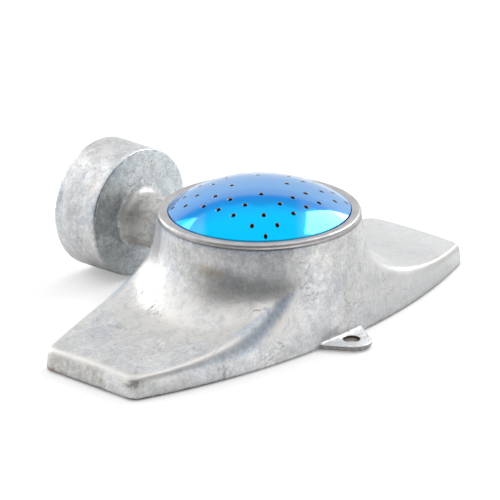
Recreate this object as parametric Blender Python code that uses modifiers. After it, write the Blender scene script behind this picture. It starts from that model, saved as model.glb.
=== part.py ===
"""Stationary lawn sprinkler: a die-cast boat-shaped base with a perforated spray dome.

Metres, +Z up. The origin is on the turret's axis, in the plane that the base stands on.
+X runs along the wings and +Y points to the hose coupling.
"""
from math import acos, atan2, cos, exp, hypot, pi, radians, sin, sqrt

import bmesh
import bpy
from mathutils import Vector

# Clearance between pieces that seat on each other
SEAT_GAP = 0.0003

# Spray dome, pressed from thin sheet
SIGHT_RADIUS = 0.0230
DOME_RISE = 0.0070
DOME_SHOULDER = 0.15
SHEET = 0.0007
SPRAY_HOLE_RADIUS = 0.0006
SPRAY_SHARES = (0.0, 0.213, 0.478, 0.670)
DOME_TURN = radians(1.4)

# Rim of the turret, rolled over the dome's flange
LIP_TOP = 0.0286
LIP_THICKNESS = 0.0007
LIP_OVERHANG = 0.0014
LIP_PROUD = 0.00025
LIP_ROUND = 0.0005
RIM_WALL = 0.0010

# Rubber ring under the dome's flange
GASKET_THICKNESS = 0.0012
GASKET_WIDTH = 0.0017

# Turret, and the water chamber in it
SEAT_WIDTH = 0.0022
CHAMBER_FLOOR = 0.0025
CHAMBER_FILLET = 0.0020
TURRET_FLARE = 0.0004
TURRET_FILLET = 0.0110
FILLET_TALL = 1.3

# Wings
WING_LENGTH = 0.0618
SIDE_LEDGE = 0.0018
TIP_HALF_WIDTH = 0.0150
TIP_CORNER = 0.0030
TIP_HEIGHT = 0.0055
TOP_CROWN = 0.0005
SWEEP_HEIGHT = 0.0185
SWEEP_REACH = 0.0232
SWEEP_POWER = 1.5
TIP_EDGE_ROUND = 0.0017
ROOT_EDGE_ROUND = 0.0080
EDGE_ROUND_REACH = 0.036
EDGE_ROUND_POWER = 3
SIDE_INSET = 0.0004
SIDE_DRAFT = 0.03
SIDE_FADE = 0.0240
FADE_POWER = 4
FADE_MOST = 0.96
FILLET_SHARE = 0.50
ROUND_SHARE = 0.55

# Hollows under the wings
WING_WALL = 0.0022
POCKET_START = 0.0140
POCKET_TOP = 0.0090
POCKET_CORNER = 0.0015

# Hose coupling with its socket, and the neck that carries it
COUPLING_RADIUS = 0.0168
COUPLING_DRAFT = 0.0002
COUPLING_LENGTH = 0.0141
COUPLING_LIFT = 0.00025
COUPLING_EDGE = 0.0003
SOCKET_RADIUS = 0.0136
SOCKET_DEPTH = 0.0116
SOCKET_CHAMFER = 0.0006
NECK_LENGTH = 0.0165
NECK_RADIUS = 0.0069
NECK_DROP = 0.0012
NECK_FILLET = 0.0014
NECK_BORE_RADIUS = 0.0045
FLARE_TRIM = radians(12)

# Rubber washer on the floor of the socket
WASHER_THICKNESS = 0.0030
WASHER_BORE_RADIUS = 0.0080

# Stake lug on the front edge
LUG_TIP_RADIUS = 0.0048
LUG_REACH = 0.0040
LUG_ROOT_HALF = 0.0090
LUG_ROOT_SINK = 0.0015
LUG_THICKNESS = 0.0018
LUG_EDGE_ROUND = 0.0006
LUG_HOLE_RADIUS = 0.00195
LUG_HOLE_OUT = 0.0033

# Fineness of the meshes
TURN_STEPS = 64
SIDE_SPOKES = 14
TIP_SPOKES = 3
CORNER_SPOKES = 4
ARC_STEPS = 5
LAND_STEPS = 3
WALL_BAND = 0.45
DOME_STEPS = 9
HOLE_SIDES = 10
POCKET_STEPS = 8
OVERSHOOT = 0.0010
WELD_DISTANCE = 0.00001
REAL_EDGE = radians(35)

# Sizes that follow from those above
RECESS_RADIUS = SIGHT_RADIUS + LIP_OVERHANG
TURRET_RADIUS = RECESS_RADIUS + RIM_WALL
CHAMBER_RADIUS = RECESS_RADIUS - SEAT_WIDTH
LIP_UNDERSIDE = LIP_TOP - LIP_THICKNESS
WALL_TOP = LIP_UNDERSIDE - LIP_PROUD
FLANGE_RADIUS = RECESS_RADIUS - SEAT_GAP
FLANGE_TOP = LIP_UNDERSIDE - SEAT_GAP
GASKET_TOP = FLANGE_TOP - SHEET - SEAT_GAP
GASKET_BOTTOM = GASKET_TOP - GASKET_THICKNESS
SEAT_HEIGHT = GASKET_BOTTOM - SEAT_GAP
SKIRT_RADIUS = SIGHT_RADIUS - SEAT_GAP
SPRAY_GRID = [share * SIGHT_RADIUS for share in SPRAY_SHARES]
WING_HALF_WIDTH = TURRET_RADIUS + SIDE_LEDGE
SIDE_DROP = WING_HALF_WIDTH - TIP_HALF_WIDTH
SIDE_ARC_RADIUS = (WING_LENGTH ** 2 + SIDE_DROP ** 2) / (2 * SIDE_DROP)
SIDE_ARC_CENTRE = WING_HALF_WIDTH - SIDE_ARC_RADIUS
POCKET_INNER_RADIUS = CHAMBER_RADIUS + WING_WALL
COUPLING_AXIS = COUPLING_RADIUS + COUPLING_DRAFT + COUPLING_LIFT
COUPLING_FACE = TURRET_RADIUS + NECK_LENGTH
COUPLING_MOUTH = COUPLING_FACE + COUPLING_LENGTH
SOCKET_FLOOR = COUPLING_MOUTH - SOCKET_DEPTH
NECK_AXIS = COUPLING_AXIS - NECK_DROP
LUG_CENTRE = WING_HALF_WIDTH + LUG_REACH
LUG_HOLE_CENTRE = WING_HALF_WIDTH + LUG_HOLE_OUT


def clear_scene():
    """Removes whatever the scene holds, so that the model starts empty."""
    for thing in list(bpy.data.objects):
        bpy.data.objects.remove(thing, do_unlink=True)


def new_collection(name):
    """Makes a collection in the scene."""
    collection = bpy.data.collections.new(name)
    bpy.context.scene.collection.children.link(collection)
    return collection


def new_material(name, colour, roughness, metallic):
    """Makes a Principled material of one colour."""
    material = bpy.data.materials.new(name)
    material.use_nodes = True
    shader = material.node_tree.nodes["Principled BSDF"]
    shader.inputs["Base Color"].default_value = (*colour, 1.0)
    shader.inputs["Roughness"].default_value = roughness
    shader.inputs["Metallic"].default_value = metallic
    return material


def add_object(name, mesh, collection, material=None):
    """Puts a mesh in the scene as a named object."""
    thing = bpy.data.objects.new(name, mesh)
    collection.objects.link(thing)
    if material:
        mesh.materials.append(material)
    return thing


def shade(mesh):
    """Shades a mesh smooth, apart from its real edges."""
    mesh.shade_smooth()
    mesh.set_sharp_from_angle(angle=REAL_EDGE)


def turned(name, profile, collection, material=None, facet_shift=0.0):
    """Turns a profile of (radius, height) points about Z, down its outer side first.

    The facets of crossing shapes are shifted by a share of a step, so that no corners meet.
    """
    mesh = bpy.data.meshes.new(name)
    start = facet_shift * 2 * pi / TURN_STEPS
    points = [(radius * cos(start), radius * sin(start), height) for radius, height in profile]
    mesh.from_pydata(points, [(i, i + 1) for i in range(len(points) - 1)], [])
    thing = add_object(name, mesh, collection, material)
    screw = thing.modifiers.new("turn", "SCREW")
    screw.axis = "Z"
    screw.angle = 2 * pi
    screw.steps = TURN_STEPS
    screw.render_steps = TURN_STEPS
    screw.use_merge_vertices = True
    screw.merge_threshold = WELD_DISTANCE
    screw.use_smooth_shade = True
    return thing


def turned_ring(name, inner, outer, bottom, top, collection, material):
    """Turns a ring of rectangular section."""
    profile = [(inner, top), (outer, top), (outer, bottom), (inner, bottom), (inner, top)]
    return turned(name, profile, collection, material)


def lay_along_y(thing, height):
    """Lays a turned shape down at this height, so that its upper end points along +Y."""
    thing.rotation_euler = (-pi / 2, 0.0, 0.0)
    thing.location = (0.0, 0.0, height)


def combine(target, tool, operation):
    """Joins a hidden shape to the target, or cuts it away."""
    tool.hide_render = True
    tool.display_type = "WIRE"
    boolean = target.modifiers.new(tool.name, "BOOLEAN")
    boolean.operation = operation
    boolean.solver = "EXACT"
    boolean.object = tool


def arc(centre, radius, start, end, steps):
    """Lists points on an arc in a plane, both ends included."""
    angles = [start + (end - start) * i / steps for i in range(steps + 1)]
    return [(centre[0] + radius * cos(a), centre[1] + radius * sin(a)) for a in angles]


def even_steps(start, end, steps):
    """Lists the places between two values, both ends left out."""
    return [start + (end - start) * i / steps for i in range(1, steps)]


def soft_least(first, second):
    """The smaller of two lengths, with a smooth change from one to the other."""
    return (first ** -4 + second ** -4) ** -0.25


def half_width(x):
    """Half the width of the base at x: both long sides are one arc."""
    return SIDE_ARC_CENTRE + sqrt(SIDE_ARC_RADIUS ** 2 - x ** 2)


def quadrant_outline():
    """Outline of a quarter of the base, from the middle of the tip to the middle of the side."""
    corner_x = WING_LENGTH - TIP_CORNER
    corner_y = SIDE_ARC_CENTRE + sqrt((SIDE_ARC_RADIUS - TIP_CORNER) ** 2 - corner_x ** 2)
    corner_end = atan2(corner_y - SIDE_ARC_CENTRE, corner_x)
    points = [(WING_LENGTH, corner_y * i / TIP_SPOKES) for i in range(TIP_SPOKES)]
    points += arc((corner_x, corner_y), TIP_CORNER, 0.0, corner_end, CORNER_SPOKES)
    first = atan2(points[-1][1], points[-1][0])
    for angle in even_steps(first, pi / 2, SIDE_SPOKES) + [pi / 2]:
        along = SIDE_ARC_CENTRE * sin(angle)
        reach = along + sqrt(along ** 2 + SIDE_ARC_RADIUS ** 2 - SIDE_ARC_CENTRE ** 2)
        points.append((reach * cos(angle), reach * sin(angle)))
    return points


def base_outline():
    """Outline of the whole base, anticlockwise, mirrored from one quarter."""
    quarter = quadrant_outline()
    half = quarter + [(-x, y) for x, y in reversed(quarter[:-1])]
    return half + [(x, -y) for x, y in reversed(half[1:-1])]


def wing_height(x):
    """Height of a wing's edge: low at the tip and swept up to the turret."""
    return TIP_HEIGHT + SWEEP_HEIGHT * exp(-(abs(x) / SWEEP_REACH) ** SWEEP_POWER)


def wing_top(x, y):
    """Height of a wing's top, which is slightly crowned between its edges."""
    return wing_height(x) + TOP_CROWN * (1 - (y / half_width(x)) ** 2)


def edge_round(x):
    """Radius of the edge above the side wall: small at the tip and full at the turret."""
    share = exp(-abs(x / EDGE_ROUND_REACH) ** EDGE_ROUND_POWER)
    return TIP_EDGE_ROUND + (ROOT_EDGE_ROUND - TIP_EDGE_ROUND) * share


def rim_section():
    """Section of the rolled rim, from its flat top out and down to the turret's wall."""
    outer = TURRET_RADIUS + LIP_PROUD
    return [
        (TURRET_RADIUS - 2 * LIP_ROUND, LIP_TOP),
        (outer - LIP_ROUND, LIP_TOP - LIP_ROUND / 4),
        (outer, LIP_TOP - LIP_ROUND),
        (outer, LIP_UNDERSIDE - LIP_PROUD / 2),
        (TURRET_RADIUS, WALL_TOP),
    ]


def side_fade(x):
    """How far the side at x has become one straight wall from the rim to the floor."""
    return FADE_MOST * exp(-(x / SIDE_FADE) ** FADE_POWER)


def spoke_section(x, y):
    """Section of the casting from the rim out to the outline point x, y and down to the floor.

    The turret's foot runs into the wing through a concave quarter ellipse, and the wing's top
    into the side wall through a convex one. Both shrink where the side comes near the turret,
    and in the middle of the side they fade into one straight wall from the rim to the floor.
    """
    reach = hypot(x, y)
    rise = wing_height(x)
    round_height = edge_round(x)
    edge = reach - SIDE_INSET - SIDE_DRAFT * (rise - round_height)
    foot = TURRET_RADIUS + TURRET_FLARE
    room = edge - foot
    round_width = soft_least(round_height, ROUND_SHARE * room)
    fillet_width = soft_least(TURRET_FILLET, FILLET_SHARE * room)
    wall_left = WALL_TOP - LIP_ROUND - wing_top(foot * x / reach, foot * y / reach)
    fillet_height = soft_least(FILLET_TALL * fillet_width, wall_left)
    steps = [i * pi / 2 / ARC_STEPS for i in range(ARC_STEPS + 1)]
    fillet_end = foot + fillet_width
    round_start = edge - round_width

    flank = []
    for angle in steps:
        distance = fillet_end - fillet_width * cos(angle)
        lift = fillet_height * (1 - sin(angle))
        flank.append((distance, wing_top(distance * x / reach, distance * y / reach) + lift))
    for distance in even_steps(fillet_end, round_start, LAND_STEPS):
        flank.append((distance, wing_top(distance * x / reach, distance * y / reach)))
    for angle in steps:
        distance = round_start + round_width * sin(angle)
        drop = round_height * (1 - cos(angle))
        flank.append((distance, wing_top(distance * x / reach, distance * y / reach) - drop))
    fade = side_fade(x)
    blended = []
    for distance, height in flank:
        straight = reach + (TURRET_RADIUS - reach) * height / WALL_TOP
        blended.append((distance + fade * (straight - distance), height))
    last, top = blended[-1]
    middle = (reach + (last - reach) * WALL_BAND, top * WALL_BAND)
    return rim_section() + blended + [middle, (reach, 0.0)]


def loft(name, rings, collection, material=None):
    """Skins closed rings of equal count, one after the other, and caps both ends."""
    shape = bmesh.new()
    loops = [[shape.verts.new(point) for point in ring] for ring in rings]
    count = len(loops[0])
    for upper, lower in zip(loops, loops[1:]):
        for i in range(count):
            j = (i + 1) % count
            shape.faces.new((upper[i], lower[i], lower[j], upper[j]))
    shape.faces.new(loops[0])
    shape.faces.new(list(reversed(loops[-1])))
    bmesh.ops.recalc_face_normals(shape, faces=shape.faces)
    mesh = bpy.data.meshes.new(name)
    shape.to_mesh(mesh)
    shape.free()
    return add_object(name, mesh, collection, material)


def outer_casting(collection, material):
    """The outside of turret and wings, lofted along spokes from the rim to the outline."""
    spokes = []
    for x, y in base_outline():
        reach = hypot(x, y)
        spokes.append([(r * x / reach, r * y / reach, z) for r, z in spoke_section(x, y)])
    rings = [list(ring) for ring in zip(*spokes)]
    return loft("cast_body", rings, collection, material)


def chamber_cutter(collection):
    """The water chamber, the seat above it and the undercut that holds the dome's flange."""
    corner = (CHAMBER_RADIUS - CHAMBER_FILLET, CHAMBER_FLOOR + CHAMBER_FILLET)
    profile = [(0.0, LIP_TOP + OVERSHOOT), (SIGHT_RADIUS, LIP_TOP + OVERSHOOT)]
    profile += [(SIGHT_RADIUS, LIP_UNDERSIDE), (RECESS_RADIUS, LIP_UNDERSIDE)]
    profile += [(RECESS_RADIUS, SEAT_HEIGHT), (CHAMBER_RADIUS, SEAT_HEIGHT)]
    profile += arc(corner, CHAMBER_FILLET, 0.0, -pi / 2, ARC_STEPS)
    profile += [(0.0, CHAMBER_FLOOR)]
    return turned("chamber_cutter", profile, collection)


def pocket_cutter(side, collection):
    """The hollow under one wing: the wing's shape less the wall, low and outside the chamber."""
    end = WING_LENGTH - WING_WALL
    places = [POCKET_START] + even_steps(POCKET_START, end - TIP_CORNER, POCKET_STEPS)
    places += [end - TIP_CORNER, end]
    rings = []
    for x in places:
        half = half_width(x) - WING_WALL
        if x == end:
            half -= TIP_CORNER / 2
        roof = min(wing_height(x) - WING_WALL, POCKET_TOP)
        lean = side_fade(x) * (hypot(x, half) - TURRET_RADIUS) * roof / WALL_TOP
        flat = half - lean - POCKET_CORNER
        corner = roof - POCKET_CORNER
        right = [(half, -OVERSHOOT), (half - lean, corner), (flat, roof)]
        outline = right + [(-y, z) for y, z in reversed(right)]
        rings.append([(side * x, y, z) for y, z in outline])
    name = "pocket_cutter_right" if side > 0 else "pocket_cutter_left"
    return loft(name, rings, collection)


def core_keep(collection):
    """A plug that keeps the pockets clear of the chamber's wall."""
    top = LIP_TOP
    profile = [(0.0, top), (POCKET_INNER_RADIUS, top)]
    profile += [(POCKET_INNER_RADIUS, -2 * OVERSHOOT), (0.0, -2 * OVERSHOOT)]
    return turned("core_keep", profile, collection)


def coupling_blank(collection):
    """The outside of the hose coupling: a drum with a slight draft towards its near face."""
    mouth_radius = COUPLING_RADIUS + COUPLING_DRAFT
    profile = [(0.0, COUPLING_MOUTH), (mouth_radius - COUPLING_EDGE, COUPLING_MOUTH)]
    profile += [(mouth_radius, COUPLING_MOUTH - COUPLING_EDGE)]
    profile += [(COUPLING_RADIUS, COUPLING_FACE), (0.0, COUPLING_FACE)]
    blank = turned("coupling_blank", profile, collection)
    lay_along_y(blank, COUPLING_AXIS)
    return blank


def neck_blank(collection):
    """The neck between turret and coupling, flared at both ends."""
    flare = NECK_RADIUS + NECK_FILLET
    start = COUPLING_FACE - NECK_FILLET
    end = TURRET_RADIUS + NECK_FILLET
    inside = CHAMBER_RADIUS - OVERSHOOT
    profile = [(0.0, COUPLING_FACE + OVERSHOOT), (flare, COUPLING_FACE + OVERSHOOT)]
    profile += arc((flare, start), NECK_FILLET, pi / 2 + FLARE_TRIM, pi, ARC_STEPS)
    profile += arc((flare, end), NECK_FILLET, pi, 3 * pi / 2 - FLARE_TRIM, ARC_STEPS)
    profile += [(flare, inside), (0.0, inside)]
    blank = turned("neck_blank", profile, collection, facet_shift=0.25)
    lay_along_y(blank, NECK_AXIS)
    return blank


def socket_cutter(collection):
    """The coupling's round socket, with a chamfer at its mouth."""
    top = COUPLING_MOUTH + OVERSHOOT
    profile = [(0.0, top), (SOCKET_RADIUS + SOCKET_CHAMFER + OVERSHOOT, top)]
    profile += [(SOCKET_RADIUS, COUPLING_MOUTH - SOCKET_CHAMFER)]
    profile += [(SOCKET_RADIUS, SOCKET_FLOOR), (0.0, SOCKET_FLOOR)]
    cutter = turned("socket_cutter", profile, collection, facet_shift=0.5)
    lay_along_y(cutter, COUPLING_AXIS)
    return cutter


def neck_bore_cutter(collection):
    """The water way from the socket through the neck into the chamber."""
    start = SOCKET_FLOOR + OVERSHOOT
    end = CHAMBER_RADIUS - 2 * OVERSHOOT
    profile = [(0.0, start), (NECK_BORE_RADIUS, start), (NECK_BORE_RADIUS, end), (0.0, end)]
    cutter = turned("neck_bore_cutter", profile, collection, facet_shift=0.25)
    lay_along_y(cutter, NECK_AXIS)
    return cutter


def lug_outline():
    """Plan outline of the stake lug: a round tip with straight flanks to its wide root."""
    root_y = WING_HALF_WIDTH - LUG_ROOT_SINK
    distance = hypot(LUG_ROOT_HALF, LUG_CENTRE - root_y)
    to_root = atan2(LUG_CENTRE - root_y, LUG_ROOT_HALF)
    touch = to_root - acos(LUG_TIP_RADIUS / distance)
    tip = arc((0.0, -LUG_CENTRE), LUG_TIP_RADIUS, pi - touch, 2 * pi + touch, 2 * ARC_STEPS)
    sunk = LUG_ROOT_SINK + SIDE_LEDGE
    ends = [(LUG_ROOT_HALF, -root_y), (LUG_ROOT_HALF, -root_y + sunk)]
    return tip + ends + [(-x, y) for x, y in reversed(ends)]


def lug_blank(collection):
    """The lug as a flat plate on the base plane, with its upper edge rounded."""
    curve = bpy.data.curves.new("lug_curve", "CURVE")
    curve.dimensions = "2D"
    curve.fill_mode = "BOTH"
    curve.extrude = LUG_THICKNESS / 2
    outline = lug_outline()
    spline = curve.splines.new("POLY")
    spline.points.add(len(outline) - 1)
    for point, (x, y) in zip(spline.points, outline):
        point.co = (x, y, 0.0, 1.0)
    spline.use_cyclic_u = True
    guide = bpy.data.objects.new("lug_curve", curve)
    collection.objects.link(guide)
    graph = bpy.context.evaluated_depsgraph_get()
    mesh = bpy.data.meshes.new_from_object(guide.evaluated_get(graph))
    bpy.data.objects.remove(guide, do_unlink=True)
    shape = bmesh.new()
    shape.from_mesh(mesh)
    bmesh.ops.remove_doubles(shape, verts=shape.verts, dist=WELD_DISTANCE)
    bmesh.ops.translate(shape, verts=shape.verts, vec=(0.0, 0.0, LUG_THICKNESS / 2))
    rim = [e for e in shape.edges if is_upper_rim(e)]
    bmesh.ops.bevel(shape, geom=rim, offset=LUG_EDGE_ROUND, segments=2, profile=0.5, affect="EDGES")
    bmesh.ops.recalc_face_normals(shape, faces=shape.faces)
    shape.to_mesh(mesh)
    shape.free()
    return add_object("lug_blank", mesh, collection)


def is_upper_rim(edge):
    """Says whether an edge of the lug lies between its top and its side."""
    on_top = all(v.co.z > LUG_THICKNESS / 2 for v in edge.verts)
    return on_top and edge.calc_face_angle(0.0) > REAL_EDGE


def lug_hole_cutter(collection):
    """The hole that a ground stake goes through."""
    top = LUG_THICKNESS + OVERSHOOT
    profile = [(0.0, top), (LUG_HOLE_RADIUS, top), (LUG_HOLE_RADIUS, -OVERSHOOT), (0.0, -OVERSHOOT)]
    cutter = turned("lug_hole_cutter", profile, collection)
    cutter.location = (0.0, -LUG_HOLE_CENTRE, 0.0)
    return cutter


def build_cast_body(parts, tools, material):
    """The one-piece casting: turret, wings, neck, coupling and lug."""
    body = outer_casting(parts, material)
    for blank in (coupling_blank(tools), neck_blank(tools), lug_blank(tools)):
        combine(body, blank, "UNION")
    keep = core_keep(tools)
    pockets = [pocket_cutter(side, tools) for side in (-1, 1)]
    for pocket in pockets:
        combine(pocket, keep, "DIFFERENCE")
    cutters = [chamber_cutter(tools), socket_cutter(tools), neck_bore_cutter(tools)]
    for cutter in cutters + pockets + [lug_hole_cutter(tools)]:
        combine(body, cutter, "DIFFERENCE")
    shade(body.data)


def dome_height(radius):
    """Height of the dome's outer surface at a radius."""
    share = (radius / SIGHT_RADIUS) ** 2
    return LIP_TOP + DOME_RISE * (1 - share) * (1 + DOME_SHOULDER * share)


def dome_slope(radius):
    """Slope of the dome's outer surface at a radius, downhill outwards."""
    share = (radius / SIGHT_RADIUS) ** 2
    change = DOME_SHOULDER - 1 - 2 * DOME_SHOULDER * share
    return -DOME_RISE * change * 2 * radius / SIGHT_RADIUS ** 2


def spray_places():
    """Plan places of the spray holes: a square grid without its middle and next four places."""
    lines = sorted({sign * place for place in SPRAY_GRID for sign in (-1, 1)})
    inner = SPRAY_GRID[1]
    return [(x, y) for x in lines for y in lines if hypot(x, y) >= hypot(inner, inner)]


def spray_cutter(collection):
    """One drill for each spray hole, square to the sheet."""
    shape = bmesh.new()
    for x, y in spray_places():
        radius = hypot(x, y)
        normal = Vector((dome_slope(radius) * x / radius, dome_slope(radius) * y / radius, 1.0))
        normal.normalize()
        middle = Vector((x, y, dome_height(radius))) - normal * SHEET / 2
        drill = bmesh.ops.create_cone(
            shape, cap_ends=True, segments=HOLE_SIDES, radius1=SPRAY_HOLE_RADIUS,
            radius2=SPRAY_HOLE_RADIUS, depth=SHEET + OVERSHOOT)
        turn = normal.to_track_quat("Z", "Y").to_matrix()
        bmesh.ops.rotate(shape, verts=drill["verts"], matrix=turn)
        bmesh.ops.translate(shape, verts=drill["verts"], vec=middle)
    mesh = bpy.data.meshes.new("spray_cutter")
    shape.to_mesh(mesh)
    shape.free()
    cutter = add_object("spray_cutter", mesh, collection)
    cutter.rotation_euler = (0.0, 0.0, DOME_TURN)
    return cutter


def build_spray_dome(parts, tools, material):
    """The perforated dome: a crowned cap, a short skirt and the flange under the rim."""
    radii = [SKIRT_RADIUS * i / DOME_STEPS for i in range(DOME_STEPS + 1)]
    profile = [(radius, dome_height(radius)) for radius in radii]
    profile += [(SKIRT_RADIUS, FLANGE_TOP), (FLANGE_RADIUS, FLANGE_TOP)]
    dome = turned("spray_dome", profile, parts, material)
    shell = dome.modifiers.new("sheet", "SOLIDIFY")
    shell.thickness = SHEET
    shell.offset = -1.0
    shell.use_even_offset = True
    combine(dome, spray_cutter(tools), "DIFFERENCE")


def build_dome_gasket(parts, material):
    """The rubber ring between the dome's flange and its seat."""
    inner = FLANGE_RADIUS - GASKET_WIDTH
    turned_ring("dome_gasket", inner, FLANGE_RADIUS, GASKET_BOTTOM, GASKET_TOP, parts, material)


def build_hose_washer(parts, material):
    """The rubber washer that the hose end presses on, on the floor of the socket."""
    bottom = SOCKET_FLOOR + SEAT_GAP
    top = bottom + WASHER_THICKNESS
    outer = SOCKET_RADIUS - SEAT_GAP
    washer = turned_ring("hose_washer", WASHER_BORE_RADIUS, outer, bottom, top, parts, material)
    lay_along_y(washer, COUPLING_AXIS)


def main():
    """Builds the sprinkler."""
    clear_scene()
    parts = new_collection("stationary_sprinkler")
    tools = new_collection("cutters")
    cast_metal = new_material("cast_metal", (0.42, 0.43, 0.42), 0.45, 1.0)
    blue_dome = new_material("blue_dome", (0.01, 0.42, 0.85), 0.15, 1.0)
    gasket_rubber = new_material("gasket_rubber", (0.02, 0.02, 0.02), 0.7, 0.0)
    washer_rubber = new_material("washer_rubber", (0.04, 0.04, 0.04), 0.6, 0.0)
    build_cast_body(parts, tools, cast_metal)
    build_spray_dome(parts, tools, blue_dome)
    build_dome_gasket(parts, gasket_rubber)
    build_hose_washer(parts, washer_rubber)


main()
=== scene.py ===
"""Looks of the stationary lawn sprinkler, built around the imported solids.

Metres, +Z up, in the frame of the solids: the origin is on the turret's axis, in the plane
that the base stands on, +X runs along the wings and +Y points to the hose coupling.
"""
from math import acos, atan2, cos, exp, hypot, pi, radians, sin, sqrt

import bmesh
import bpy
import numpy as np
from mathutils import Matrix, Vector, noise


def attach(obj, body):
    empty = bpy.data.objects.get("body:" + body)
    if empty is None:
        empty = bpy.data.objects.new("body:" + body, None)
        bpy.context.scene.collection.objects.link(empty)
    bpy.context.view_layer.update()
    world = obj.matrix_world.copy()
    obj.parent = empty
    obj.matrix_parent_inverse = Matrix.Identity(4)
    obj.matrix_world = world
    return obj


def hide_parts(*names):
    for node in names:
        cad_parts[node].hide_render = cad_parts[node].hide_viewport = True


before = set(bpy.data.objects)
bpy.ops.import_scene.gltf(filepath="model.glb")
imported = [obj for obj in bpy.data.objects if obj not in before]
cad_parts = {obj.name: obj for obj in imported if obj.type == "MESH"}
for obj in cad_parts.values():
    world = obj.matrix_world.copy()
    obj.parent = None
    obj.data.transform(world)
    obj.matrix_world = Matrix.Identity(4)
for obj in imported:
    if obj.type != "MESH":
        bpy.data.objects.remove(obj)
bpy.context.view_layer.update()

# Camera, solved from the photograph
CAMERA_PLACE = Vector((-0.67155, -0.61870, 0.36751))
CAMERA_AZIMUTH = radians(-47.19)
CAMERA_ELEVATION = radians(20.97)
CAMERA_ROLL = radians(-0.50)
SENSOR = 36.0
LENS = 280.79
CLIP_START = 0.01

# Studio: how bright its parts are, where two of them lie, and the ceiling's soft edge
CEILING_LIGHT = 1.03
BACKDROP_LIGHT = 0.82
GAP_LIGHT = 0.86
FRONT_LIGHT = 0.15
SHOULDER_LIGHT = 0.50
PANEL_LIGHT = 1.15
FRONT_MIDDLE = radians(-18)
ARCH_MIDDLE = radians(1)
EDGE_BLUR = 0.02

# Floor: its size, and how it glows to the camera and in reflections
FLOOR_REACH = 4.0
FLOOR_FRONT = 0.135
FLOOR_GLOW = 0.33
MIRROR_GLOW = 0.85
GLOW_BEARING = radians(150)
GLOW_SPREAD = (0.60, 0.95)
GLOW_REACH = (0.065, 0.110)
GLOW_NEAR = 0.35

# Softboxes: name, light, how far ahead and aside, bottom, top, where it faces, and width
SOFTBOXES = (
    ("softbox_right", 4.0, 0.85, 0.80, 0.50, 1.68, radians(90), 0.92),
    ("softbox_left", 2.8, 0.60, -0.80, 0.02, 0.40, radians(-53), 0.38),
    ("softbox_upper", 1.5, 0.62, -0.78, 0.42, 0.94, radians(-50), 0.46),
)

# Dome of thin sheet
SIGHT_RADIUS = 0.0230
DOME_RISE = 0.0070
DOME_SHOULDER = 0.15
SHEET = 0.0007
SPRAY_GRID = (0.0, 0.0049, 0.0110, 0.0154)
DOME_TURN = radians(1.4)
HOLE_RADIUS = 0.00060
HOLE_CHAMFER = 0.00012
HOLE_DRAW = 0.25
HOLE_PINCH = 0.38
WAVE_HEIGHT = 0.00003
WAVE_SCALE = 110.0
WAVE_STEP = 0.0002
DRILL_RISE = 0.0004
DRILL_SINK = 0.0006

# A face lies along the dome above the first of these agreements of the two normals, and
# is a hole's wall below the second
ALONG_DOME = 0.97
ACROSS_DOME = 0.9

# Rolled rim, seat and gasket
LIP_TOP = 0.0286
LIP_THICKNESS = 0.0007
LIP_OVERHANG = 0.0014
LIP_PROUD = 0.00025
RIM_WALL = 0.0010
RIM_PROUD = 0.0001
RIM_SKIRT = 0.0006
RIM_ROUND = 0.0009
RIM_GROOVE = 0.0003
RIM_TUCK = radians(30)
RIM_INNER_ROUND = 0.00025
RIM_DISH = 0.0001
SEAT_WIDTH = 0.0022
SEAT_HEIGHT = 0.0251
CHAMBER_FLOOR = 0.0025
CHAMBER_FILLET = 0.0020

# Turret and wings
TURRET_FLARE = 0.0004
TURRET_FILLET = 0.0110
FILLET_TALL = 1.3
WING_LENGTH = 0.0618
SIDE_LEDGE = 0.0018
TIP_HALF_WIDTH = 0.0150
TIP_CORNER = 0.0030
TIP_HEIGHT = 0.0055
TOP_CROWN = 0.0005
SWEEP_HEIGHT = 0.0185
SWEEP_REACH = 0.0232
SWEEP_POWER = 1.5
TIP_EDGE_ROUND = 0.0017
ROOT_EDGE_ROUND = 0.0080
EDGE_ROUND_REACH = 0.036
EDGE_ROUND_POWER = 3
SIDE_INSET = 0.0004
SIDE_DRAFT = 0.03
SIDE_FADE = 0.0240
FADE_POWER = 4
FADE_MOST = 0.96
FILLET_SHARE = 0.50
ROUND_SHARE = 0.55
SOFT_POWER = -4
WALL_BAND = 0.45
FOOT_LIFT = 0.0005
FOOT_INSET = 0.0010
WING_WALL = 0.0022
POCKET_START = 0.0140
POCKET_TOP = 0.0090
POCKET_CORNER = 0.0015

# Hose coupling, socket, thread and neck
COUPLING_RADIUS = 0.0168
COUPLING_DRAFT = 0.0002
COUPLING_LENGTH = 0.0141
COUPLING_LIFT = 0.00025
SOCKET_RADIUS = 0.0136
SOCKET_DEPTH = 0.0116
SOCKET_CHAMFER = 0.0006
THREAD_PITCH = 0.002209
THREAD_CREST = 0.0125
THREAD_TURNS = 2.6
THREAD_SINK = 0.0004
THREAD_FOOT = 0.44
THREAD_TIP = 0.12
NECK_LENGTH = 0.0165
NECK_RADIUS = 0.0069
NECK_DROP = 0.0012
NECK_FILLET = 0.0014
FACE_FILLET = 0.0026
FLARE_TRIM = radians(8)
NECK_BORE_RADIUS = 0.0045
SEAT_GAP = 0.0003

# Stake lug
LUG_TIP_RADIUS = 0.0048
LUG_REACH = 0.0040
LUG_ROOT_HALF = 0.0090
LUG_ROOT_SINK = 0.0015
LUG_THICKNESS = 0.0018
LUG_HOLE_RADIUS = 0.00195
LUG_EDGE = 0.0006
LUG_LIFT = 0.0003
LUG_HOLE_OUT = 0.0033

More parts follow.
